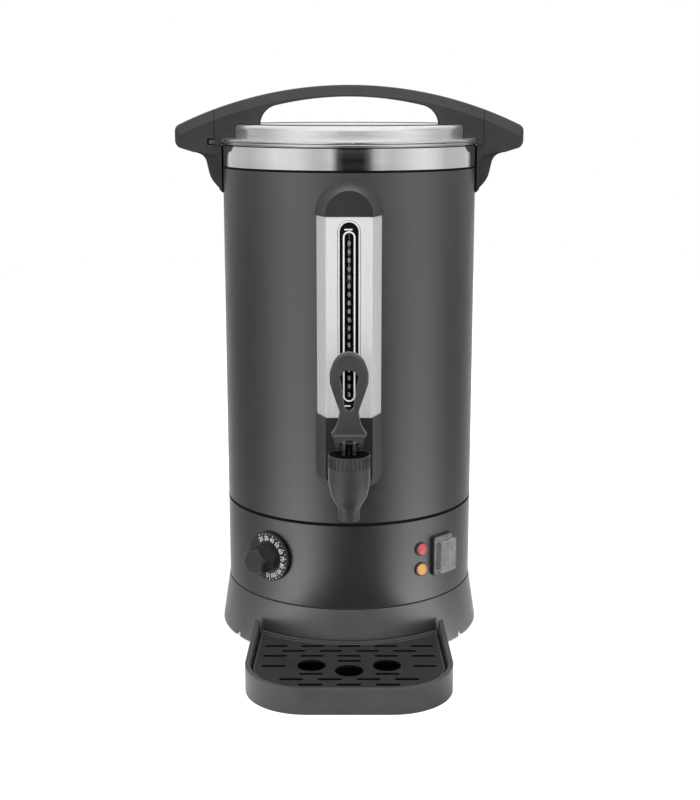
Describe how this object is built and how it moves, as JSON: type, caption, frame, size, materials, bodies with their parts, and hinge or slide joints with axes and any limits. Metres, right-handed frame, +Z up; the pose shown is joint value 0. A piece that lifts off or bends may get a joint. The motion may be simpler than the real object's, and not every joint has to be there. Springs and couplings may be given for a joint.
{
  "type": "hot water urn",
  "caption": "Double-walled hot water urn with an arched lid handle, side grips, a sight gauge, a loop-lever tap, a dial, a rocker switch and a drip tray.",
  "frame": {"origin": "centre of the body, on the surface that the feet stand on", "axes": "+Z up the body, -Y towards the tap and the drip tray, +X to the right seen from the front"},
  "size_m": [0.3432, 0.3876, 0.5475],
  "materials": {
    "black_plastic": "fine-grained moulded black plastic",
    "dark_paint": "satin dark grey powder coat",
    "brushed_steel": "brushed stainless steel",
    "plated_steel": "plain plated steel",
    "cast_aluminium": "cast",
    "copper_tube": "drawn copper",
    "black_rubber": "matt moulded rubber",
    "white_silicone": "matt silicone",
    "clear_glass": "clear",
    "clear_boot": "clear soft plastic",
    "red_lens": "translucent red",
    "amber_lens": "translucent amber",
    "gloss_black": "glossy moulded plastic",
    "cream_plastic": "moulded"
  },
  "bodies": {
    "root": {"base_skirt": "black_plastic", "base_plate": "plated_steel", "base_screws": "plated_steel", "rubber_feet": "black_rubber", "lower_housing": "dark_paint", "outer_shell": "dark_paint", "rim_collar": "brushed_steel", "inner_pot": "brushed_steel", "side_handle_left": "black_plastic", "side_handle_right": "black_plastic", "handle_screws": "plated_steel", "gauge_cap": "black_plastic", "gauge_cover": "brushed_steel", "gauge_backplate": "black_plastic", "sight_glass": "clear_glass", "sight_glass_seals": "black_rubber", "gauge_tee": "plated_steel", "tap_housing": "black_plastic", "tap_body": "black_plastic", "tap_bonnet": "black_plastic", "tap_spring": "plated_steel", "tap_shank_nut": "plated_steel", "tap_washers": "white_silicone", "tap_spacer": "plated_steel", "thermostat_body": "plated_steel", "thermostat_bulb": "copper_tube", "lamp_holders": "black_plastic", "lamp_lens_red": "red_lens", "lamp_lens_amber": "amber_lens", "switch_frame": "black_plastic", "switch_pin": "plated_steel", "switch_boot": "clear_boot", "cord_gland": "black_rubber", "heater_plate": "cast_aluminium", "heating_element": "plated_steel", "thermal_cutout": "gloss_black", "heat_shield": "plated_steel", "terminal_block": "cream_plastic"},
    "tap_stem": {"tap_stem": "plated_steel", "tap_seat_plug": "white_silicone", "tap_pivot_pin": "plated_steel"},
    "tap_lever": {"tap_lever": "black_plastic"},
    "knob": {"thermostat_knob": "black_plastic", "dial_ring": "black_plastic", "thermostat_shaft": "plated_steel"},
    "rocker": {"switch_rocker": "gloss_black"},
    "tray": {"drip_tray": "black_plastic"},
    "grille": {"drip_grille": "black_plastic"},
    "lid_seal": {"lid_gasket": "black_rubber"},
    "lid": {"lid_pan": "brushed_steel", "lid_handle": "black_plastic", "lid_screws": "plated_steel"}
  },
  "joints": [
    {"name": "stem_lift", "type": "slide", "parent": "root", "child": "tap_stem", "axis": [0, 0, 1], "range_m": [0, 0.0045], "stiffness_N_per_m": 800, "springref_m": -0.008, "deforming": ["tap_spring"]},
    {"name": "lever_tilt", "type": "hinge", "parent": "tap_stem", "child": "tap_lever", "pos_m": [0, -0.173, 0.228], "axis": [1, 0, 0], "range_deg": [0, 90]},
    {"name": "thermostat_turn", "type": "hinge", "parent": "root", "child": "knob", "pos_m": [-0.07696, -0.0985, 0.0955], "axis": [0.6157, 0.788, 0], "range_deg": [0, 270]},
    {"name": "rocker_tip", "type": "hinge", "parent": "root", "child": "rocker", "pos_m": [0.08958, -0.08501, 0.094], "axis": [0.6884, 0.7254, 0], "range_deg": [-24, 0]},
    {"name": "tray_slide", "type": "slide", "parent": "root", "child": "tray", "axis": [0, -1, 0], "range_m": [0, 0.12]},
    {"name": "grille_lift", "type": "slide", "parent": "tray", "child": "grille", "axis": [0, 0, 1], "range_m": [0, 0.06]},
    {"name": "lid_lift", "type": "slide", "parent": "root", "child": "lid_seal", "axis": [0, 0, 1], "range_m": [0, 0.15]},
    {"name": "lid_turn", "type": "hinge", "parent": "lid_seal", "child": "lid", "pos_m": [0, 0, 0.5], "axis": [0, 0, 1], "range_deg": [0, 25]}
  ],
  "couplings": [
    {"joint": "lever_tilt", "follows": "stem_lift", "rad_per_m": 349.07}
  ]
}
